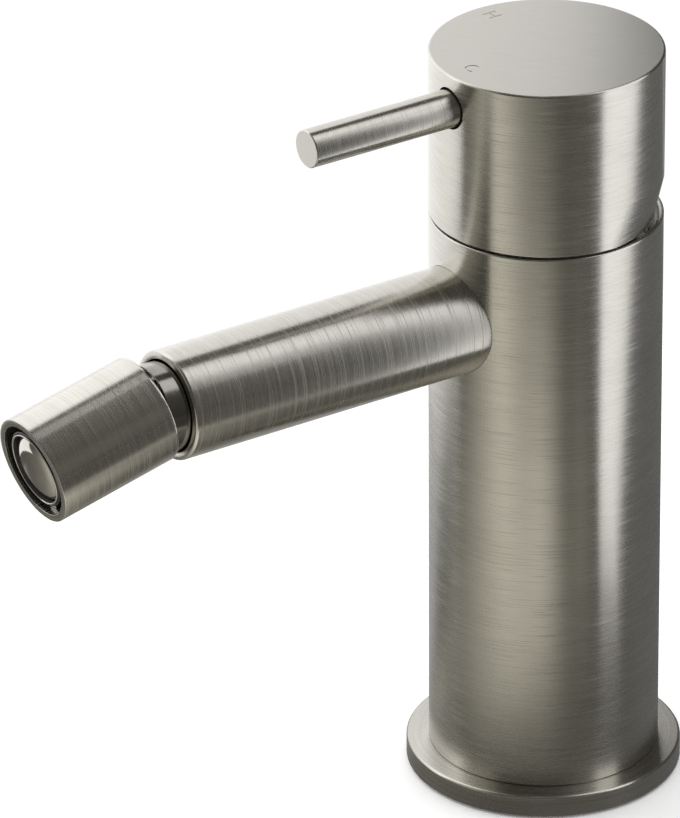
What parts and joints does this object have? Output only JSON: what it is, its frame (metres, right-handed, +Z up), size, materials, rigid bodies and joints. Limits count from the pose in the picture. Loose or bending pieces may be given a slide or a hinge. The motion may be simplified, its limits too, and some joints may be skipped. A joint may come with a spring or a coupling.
{
  "type": "bidet mixer tap",
  "caption": "Deck-mounted bidet mixer: upright drum body on a round flange, level tubular spout with a ball-jointed nozzle, and a drum handle with a thin straight lever that lifts and turns.",
  "frame": {"origin": "middle of the body's underside, on the deck", "axes": "+Z up along the body's axis, the spout and the lever point to -Y, +X is the user's right"},
  "size_m": [0.055, 0.1485, 0.1551],
  "materials": {
    "brushed_steel": "brushed",
    "polished_steel": "polished",
    "plain_steel": "turned",
    "brass": "machined",
    "rubber": "matte",
    "white_plastic": "matte",
    "ceramic": "lapped",
    "black_plastic": "matte",
    "green_plastic": "matte"
  },
  "bodies": {
    "body": {"body_shell": "brushed_steel", "base_flange": "brushed_steel", "base_seal": "rubber", "base_insert": "brass", "hot_feed_pipe": "brass", "cold_feed_pipe": "brass", "feed_seals": "rubber", "valve_manifold": "brass", "cartridge_base": "white_plastic", "port_seals": "rubber", "fixed_disc": "ceramic", "cartridge_housing": "white_plastic", "cartridge_nut": "brass", "spout_tube": "brushed_steel", "spout_seal": "rubber", "spout_bush": "brass", "ball_stem": "polished_steel", "swivel_neck": "polished_steel", "neck_washer": "rubber"},
    "stem_turn": {"stem_carrier": "white_plastic", "stem_pin": "plain_steel"},
    "disc": {"disc_carrier": "white_plastic", "moving_disc": "ceramic"},
    "handle": {"cartridge_stem": "plain_steel", "handle_cap": "brushed_steel", "lever_rod": "brushed_steel"},
    "liner": {"ball_liner": "white_plastic"},
    "nozzle": {"nozzle_shell": "brushed_steel", "ball_retainer": "brass", "ball_seal": "rubber", "aerator_washer": "rubber", "aerator_screen": "plain_steel", "flow_regulator": "green_plastic", "aerator_housing": "black_plastic", "aerator_dome": "polished_steel", "aerator_ring": "polished_steel"}
  },
  "joints": [
    {"name": "handle_turn", "type": "hinge", "parent": "body", "child": "stem_turn", "pos_m": [0, 0, 0.133], "axis": [0, 0, 1], "range_deg": [-90, 0]},
    {"name": "handle_lift", "type": "hinge", "parent": "stem_turn", "child": "handle", "pos_m": [0, 0, 0.133], "axis": [-1, 0, 0], "range_deg": [0, 16]},
    {"name": "disc_slide", "type": "slide", "parent": "stem_turn", "child": "disc", "axis": [0, -1, 0], "range_m": [0, 0.0029]},
    {"name": "nozzle_swing", "type": "hinge", "parent": "body", "child": "liner", "pos_m": [0, -0.0962, 0.10265], "axis": [0, -1, 0], "continuous": true},
    {"name": "nozzle_tilt", "type": "hinge", "parent": "liner", "child": "nozzle", "pos_m": [0, -0.0962, 0.10265], "axis": [-1, 0, 0], "range_deg": [-1.7, 28.3]}
  ],
  "couplings": [
    {"joint": "disc_slide", "follows": "handle_lift", "m_per_rad": 0.01012}
  ]
}
